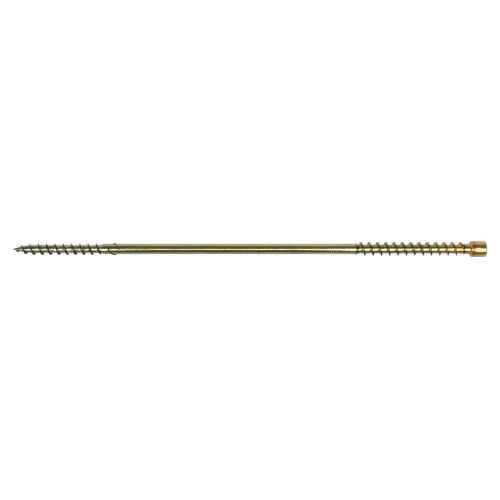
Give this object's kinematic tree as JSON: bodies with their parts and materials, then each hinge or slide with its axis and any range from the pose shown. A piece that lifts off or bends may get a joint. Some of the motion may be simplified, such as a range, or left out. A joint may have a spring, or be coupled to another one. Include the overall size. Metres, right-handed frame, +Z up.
{
  "type": "double-threaded wood screw",
  "caption": "Long wood screw with a cylinder head and a lobed drive recess, threads behind its point and under its head, and a plain shank with cutter ribs between.",
  "frame": {"origin": "centre of the bottom of the bounding box: half way along the screw, on the surface it lies on", "axes": "+X along the screw from its point to its head, rising by 0.27 degrees with its axis; +Z up from the surface it lies on"},
  "size_m": [0.3, 0.0098, 0.01],
  "materials": {
    "yellow_zinc_steel": "satin"
  },
  "bodies": {
    "root": {"double_threaded_screw": "yellow_zinc_steel"}
  },
  "joints": []
}
